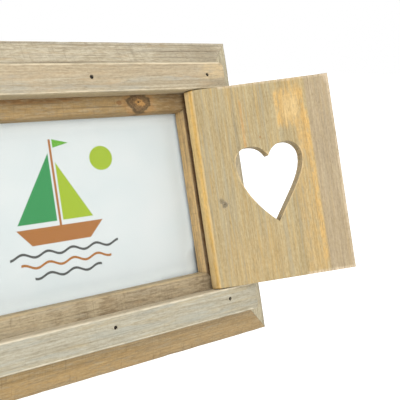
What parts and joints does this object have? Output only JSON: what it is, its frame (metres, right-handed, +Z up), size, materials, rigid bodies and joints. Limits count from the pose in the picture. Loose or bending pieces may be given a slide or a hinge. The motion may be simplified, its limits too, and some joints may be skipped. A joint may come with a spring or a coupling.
{
  "type": "photo frame",
  "caption": "Rustic wooden photo frame leaning on a folding strut, with heart cut-out shutters that swing shut over the picture.",
  "frame": {"origin": "middle of the lower back edge of the base, which meets the table", "axes": "+X to the viewer's right along the table edge, +Y towards the back, +Z up from the table; the front faces -Y and leans back 16 degrees"},
  "size_m": [0.2984, 0.1119, 0.1699],
  "materials": {
    "base_wood": "stained, worn matt",
    "rail_wood": "washed, worn matt",
    "shutter_wood": "stained, worn matt",
    "fibreboard": "matt",
    "glass": "polished",
    "card": "matt print",
    "zinc_steel": "zinc plated",
    "dark_steel": "plain"
  },
  "bodies": {
    "frame": {"base_top_member": "base_wood", "base_bottom_member": "base_wood", "base_left_member": "base_wood", "base_right_member": "base_wood", "top_rail": "rail_wood", "bottom_rail": "rail_wood", "top_rail_nail_left": "dark_steel", "top_rail_nail_middle": "dark_steel", "top_rail_nail_right": "dark_steel", "bottom_rail_nail_left": "dark_steel", "bottom_rail_nail_middle": "dark_steel", "bottom_rail_nail_right": "dark_steel", "corner_wedge_top_left": "zinc_steel", "corner_wedge_top_right": "zinc_steel", "corner_wedge_bottom_left": "zinc_steel", "corner_wedge_bottom_right": "zinc_steel", "glass_pane": "glass", "insert_card": "card", "back_board": "fibreboard", "strut_hinge_fixed_leaf": "zinc_steel", "strut_hinge_pin": "zinc_steel", "fixed_leaf_rivet_left": "zinc_steel", "fixed_leaf_rivet_right": "zinc_steel", "turn_button_screw_top_left": "zinc_steel", "turn_button_screw_top_right": "zinc_steel", "turn_button_screw_bottom_left": "zinc_steel", "turn_button_screw_bottom_right": "zinc_steel"},
    "right_shutter": {"right_shutter": "shutter_wood", "right_shutter_upper_pin": "dark_steel", "right_shutter_lower_pin": "dark_steel"},
    "left_shutter": {"left_shutter": "shutter_wood", "left_shutter_upper_pin": "dark_steel", "left_shutter_lower_pin": "dark_steel"},
    "strut": {"strut": "fibreboard", "strut_hinge_moving_leaf": "zinc_steel", "moving_leaf_rivet_left": "zinc_steel", "moving_leaf_rivet_right": "zinc_steel"},
    "turn_button_top_left": {"turn_button_top_left": "zinc_steel"},
    "turn_button_top_right": {"turn_button_top_right": "zinc_steel"},
    "turn_button_bottom_left": {"turn_button_bottom_left": "zinc_steel"},
    "turn_button_bottom_right": {"turn_button_bottom_right": "zinc_steel"}
  },
  "joints": [
    {"name": "right_shutter_swing", "type": "hinge", "parent": "frame", "child": "right_shutter", "pos_m": [0.0777, 0.0035, 0.09002], "axis": [0, 0.2756, 0.9613], "range_deg": [-154, 26]},
    {"name": "left_shutter_swing", "type": "hinge", "parent": "frame", "child": "left_shutter", "pos_m": [-0.0777, 0.0035, 0.09002], "axis": [0, -0.2756, -0.9613], "range_deg": [-154, 26]},
    {"name": "strut_fold", "type": "hinge", "parent": "frame", "child": "strut", "pos_m": [0, 0.03441, 0.11237], "axis": [1, 0, 0], "range_deg": [-30, 0]},
    {"name": "turn_button_top_left_turn", "type": "hinge", "parent": "frame", "child": "turn_button_top_left", "pos_m": [-0.084, 0.03251, 0.11083], "axis": [0, 0.9613, -0.2756], "range_deg": [-90, 90]},
    {"name": "turn_button_top_right_turn", "type": "hinge", "parent": "frame", "child": "turn_button_top_right", "pos_m": [0.084, 0.03251, 0.11083], "axis": [0, 0.9613, -0.2756], "range_deg": [-90, 90]},
    {"name": "turn_button_bottom_left_turn", "type": "hinge", "parent": "frame", "child": "turn_button_bottom_left", "pos_m": [-0.084, 0.01707, 0.057], "axis": [0, 0.9613, -0.2756], "range_deg": [-90, 90]},
    {"name": "turn_button_bottom_right_turn", "type": "hinge", "parent": "frame", "child": "turn_button_bottom_right", "pos_m": [0.084, 0.01707, 0.057], "axis": [0, 0.9613, -0.2756], "range_deg": [-90, 90]}
  ]
}
